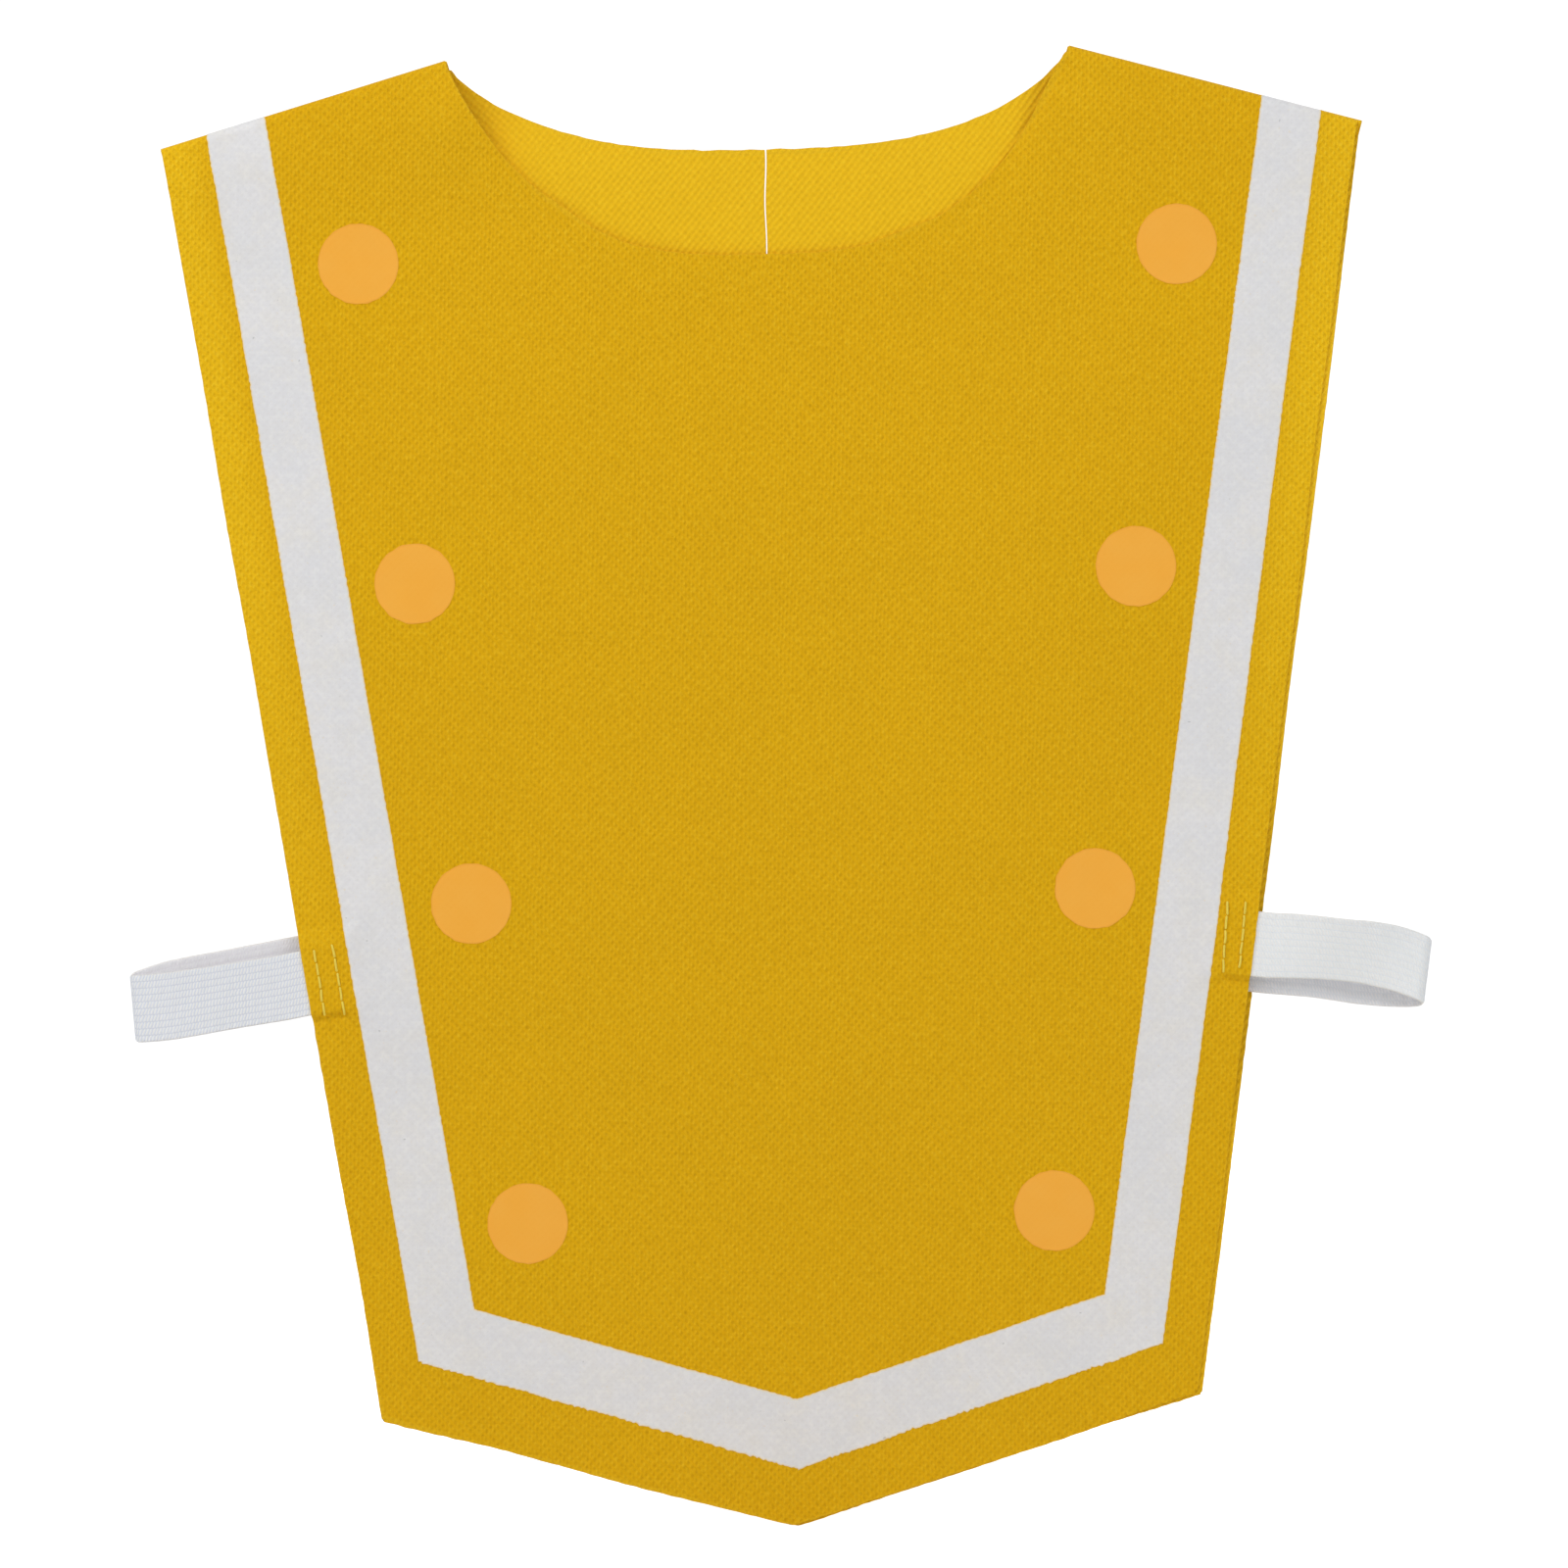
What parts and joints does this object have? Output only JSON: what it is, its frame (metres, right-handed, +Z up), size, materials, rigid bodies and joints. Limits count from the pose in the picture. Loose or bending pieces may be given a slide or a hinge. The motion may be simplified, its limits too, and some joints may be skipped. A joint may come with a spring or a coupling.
{
  "type": "pull-on tabard vest",
  "caption": "Child's pull-on costume vest of embossed yellow nonwoven cloth, styled as a life jacket, with white tapes, orange dots and elastic side loops.",
  "frame": {"origin": "the point of the hem, midway between the front and the back panel", "axes": "+Z up from the hem to the shoulders, +X to the wearer's left as seen from the front (the picture's right), -Y out of the front panel and +Y out of the back panel"},
  "size_m": [0.4072, 0.0074, 0.4589],
  "materials": {
    "yellow_cloth": "matte embossed nonwoven",
    "white_tape": "matte embossed nonwoven",
    "orange_dot": "smooth matte",
    "white_elastic": "woven elastic",
    "yellow_thread": "sewing thread"
  },
  "bodies": {
    "back": {"back_panel": "yellow_cloth", "loop_left_back_end": "white_elastic", "loop_right_back_end": "white_elastic", "stitch_left_back_outer": "yellow_thread", "stitch_left_back_inner": "yellow_thread", "stitch_right_back_outer": "yellow_thread", "stitch_right_back_inner": "yellow_thread", "shoulder_thread_left_back": "yellow_thread", "shoulder_thread_right_back": "yellow_thread"},
    "front": {"front_panel": "yellow_cloth", "tape_side_left": "white_tape", "tape_side_right": "white_tape", "tape_hem_left": "white_tape", "tape_hem_right": "white_tape", "dot_left_1": "orange_dot", "dot_left_2": "orange_dot", "dot_left_3": "orange_dot", "dot_left_4": "orange_dot", "dot_right_1": "orange_dot", "dot_right_2": "orange_dot", "dot_right_3": "orange_dot", "dot_right_4": "orange_dot", "loop_left_front_end": "white_elastic", "loop_right_front_end": "white_elastic", "stitch_left_front_outer": "yellow_thread", "stitch_left_front_inner": "yellow_thread", "stitch_right_front_outer": "yellow_thread", "stitch_right_front_inner": "yellow_thread", "shoulder_thread_left_front": "yellow_thread", "shoulder_thread_right_front": "yellow_thread"},
    "left_front_leg": {"loop_left_front_leg": "white_elastic"},
    "left_back_leg": {"loop_left_back_leg": "white_elastic"},
    "right_front_leg": {"loop_right_front_leg": "white_elastic"},
    "right_back_leg": {"loop_right_back_leg": "white_elastic"}
  },
  "joints": [
    {"name": "front_swing", "type": "hinge", "parent": "back", "child": "front", "pos_m": [0, 0, 0.4589], "axis": [-1, 0, 0], "range_deg": [0, 15]},
    {"name": "left_front_bend", "type": "hinge", "parent": "front", "child": "left_front_leg", "pos_m": [-0.14736, -0.00253, 0.17268], "axis": [0.1483, 0, -0.9889], "range_deg": [0, 38]},
    {"name": "left_back_bend", "type": "hinge", "parent": "back", "child": "left_back_leg", "pos_m": [-0.14806, 0.00253, 0.17732], "axis": [-0.1483, 0, 0.9889], "range_deg": [0, 38]},
    {"name": "right_front_bend", "type": "hinge", "parent": "front", "child": "right_front_leg", "pos_m": [0.14968, -0.00253, 0.17747], "axis": [0.1483, 0, 0.9889], "range_deg": [0, 38]},
    {"name": "right_back_bend", "type": "hinge", "parent": "back", "child": "right_back_leg", "pos_m": [0.14894, 0.00253, 0.17253], "axis": [-0.1483, 0, -0.9889], "range_deg": [0, 38]}
  ],
  "couplings": [
    {"joint": "left_front_bend", "follows": "front_swing", "ratio": 2.5},
    {"joint": "left_back_bend", "follows": "front_swing", "ratio": 2.5},
    {"joint": "right_front_bend", "follows": "front_swing", "ratio": 2.5},
    {"joint": "right_back_bend", "follows": "front_swing", "ratio": 2.5}
  ]
}
